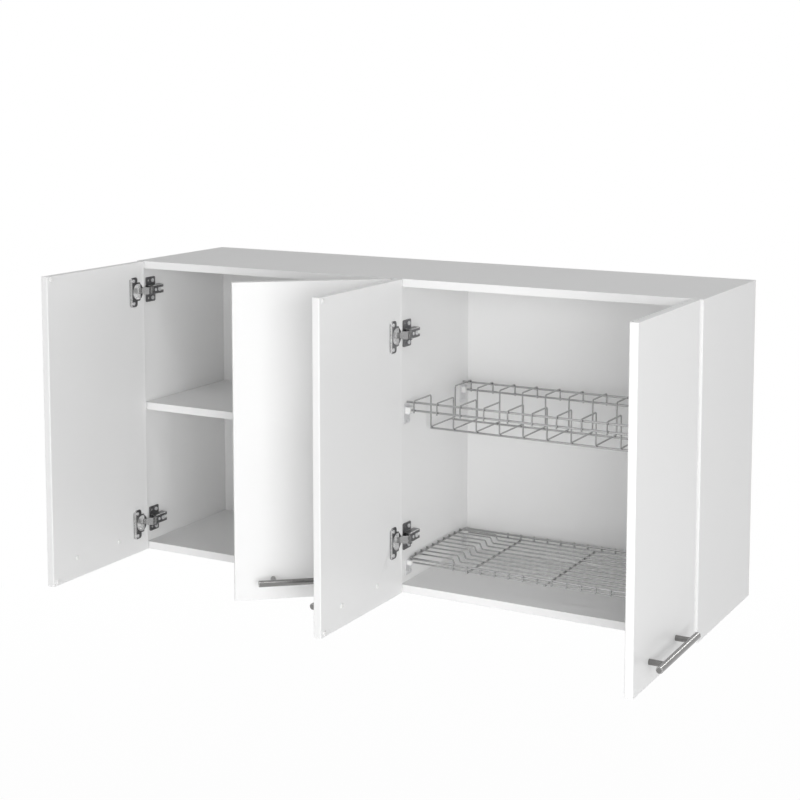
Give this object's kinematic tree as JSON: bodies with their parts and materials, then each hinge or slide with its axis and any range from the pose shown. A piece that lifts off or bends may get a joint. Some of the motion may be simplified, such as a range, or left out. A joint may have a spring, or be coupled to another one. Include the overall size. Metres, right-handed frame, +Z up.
{
  "type": "kitchen wall cabinet with dish rack",
  "caption": "Wide white wall cabinet with hinged doors on concealed hinges, bar handles, an open shelf side and a side with wire plate and glass racks.",
  "frame": {"origin": "centre of the four wall screw holes, on the plane of the cabinet's back, which is also the cabinet's middle in width and height", "axes": "+X to the right seen from the front, +Y into the wall, +Z up; doors open towards -Y"},
  "size_m": [1.258, 0.5975, 0.6],
  "materials": {
    "white_board": "white melamine, satin",
    "white_back_board": "white faced hardboard, satin",
    "white_door_board": "white melamine with edge band, semi-gloss",
    "beech": "bare",
    "zinc": "die-cast zinc, matt",
    "nickel_steel": "nickel plated",
    "chromed_wire": "chrome plated",
    "satin_steel": "satin",
    "white_plastic": "moulded",
    "clear_plastic": "soft, cloudy"
  },
  "bodies": {
    "case": {"left_side_panel": "white_board", "right_side_panel": "white_board", "top_panel": "white_board", "bottom_panel": "white_board", "divider_left_panel": "white_board", "divider_right_panel": "white_board", "back_panel_left": "white_back_board", "back_panel_right": "white_back_board", "shelf": "white_board", "shelf_pins": "zinc", "hanging_rail_upper_left": "white_board", "hanging_rail_upper_right": "white_board", "hanging_rail_lower_left": "white_board", "hanging_rail_lower_right": "white_board", "carcass_dowels": "beech", "cam_discs": "zinc", "cam_bolts": "zinc", "hinge_plates": "nickel_steel", "hinge_arms": "nickel_steel", "hinge_arm_pins": "nickel_steel", "hinge_plate_screws": "nickel_steel", "hinge_arm_screws": "nickel_steel", "plate_rack": "chromed_wire", "glass_rack": "chromed_wire", "rack_brackets": "nickel_steel", "rack_bracket_inserts": "white_plastic", "rack_screws": "nickel_steel"},
    "door_1": {"door_1": "white_door_board", "handle_1": "satin_steel", "handle_1_screws": "nickel_steel", "hinge_1_cups": "nickel_steel", "hinge_1_cup_pins": "nickel_steel", "hinge_1_cup_screws": "nickel_steel", "door_1_bumpers": "clear_plastic"},
    "hinge_links_1": {"hinge_1_links": "nickel_steel"},
    "door_2": {"door_2": "white_door_board", "handle_2": "satin_steel", "handle_2_screws": "nickel_steel", "hinge_2_cups": "nickel_steel", "hinge_2_cup_pins": "nickel_steel", "hinge_2_cup_screws": "nickel_steel", "door_2_bumpers": "clear_plastic"},
    "hinge_links_2": {"hinge_2_links": "nickel_steel"},
    "door_3": {"door_3": "white_door_board", "handle_3": "satin_steel", "handle_3_screws": "nickel_steel", "hinge_3_cups": "nickel_steel", "hinge_3_cup_pins": "nickel_steel", "hinge_3_cup_screws": "nickel_steel", "door_3_bumpers": "clear_plastic"},
    "hinge_links_3": {"hinge_3_links": "nickel_steel"},
    "door_4": {"door_4": "white_door_board", "handle_4": "satin_steel", "handle_4_screws": "nickel_steel", "hinge_4_cups": "nickel_steel", "hinge_4_cup_pins": "nickel_steel", "hinge_4_cup_screws": "nickel_steel", "door_4_bumpers": "clear_plastic"},
    "hinge_links_4": {"hinge_4_links": "nickel_steel"}
  },
  "joints": [
    {"name": "link_1_pivot", "type": "hinge", "parent": "case", "child": "hinge_links_1", "pos_m": [-0.5685, -0.295, 0], "axis": [0, 0, -1], "range_deg": [-0.81, 18.01]},
    {"name": "door_1_pivot", "type": "hinge", "parent": "hinge_links_1", "child": "door_1", "pos_m": [-0.58313, -0.31148, 0], "axis": [0, 0, -1], "range_deg": [-108, 4.8]},
    {"name": "link_2_pivot", "type": "hinge", "parent": "case", "child": "hinge_links_2", "pos_m": [-0.0315, -0.295, 0], "axis": [0, 0, 1], "range_deg": [-0.01, 7.81]},
    {"name": "door_2_pivot", "type": "hinge", "parent": "hinge_links_2", "child": "door_2", "pos_m": [-0.01419, -0.30862, 0], "axis": [0, 0, 1], "range_deg": [-46.8, 0]},
    {"name": "link_3_pivot", "type": "hinge", "parent": "case", "child": "hinge_links_3", "pos_m": [0.0315, -0.295, 0], "axis": [0, 0, -1], "range_deg": [-0.01, 18.01]},
    {"name": "door_3_pivot", "type": "hinge", "parent": "hinge_links_3", "child": "door_3", "pos_m": [0.01688, -0.31148, 0], "axis": [0, 0, -1], "range_deg": [-108, 0]},
    {"name": "link_4_pivot", "type": "hinge", "parent": "case", "child": "hinge_links_4", "pos_m": [0.5685, -0.295, 0], "axis": [0, 0, 1], "range_deg": [-0.81, 18.01]},
    {"name": "door_4_pivot", "type": "hinge", "parent": "hinge_links_4", "child": "door_4", "pos_m": [0.58313, -0.31148, 0], "axis": [0, 0, 1], "range_deg": [-108, 4.8]}
  ],
  "couplings": [
    {"joint": "link_1_pivot", "follows": "door_1_pivot", "ratio": -0.16667},
    {"joint": "link_2_pivot", "follows": "door_2_pivot", "ratio": -0.16667},
    {"joint": "link_3_pivot", "follows": "door_3_pivot", "ratio": -0.16667},
    {"joint": "link_4_pivot", "follows": "door_4_pivot", "ratio": -0.16667}
  ]
}
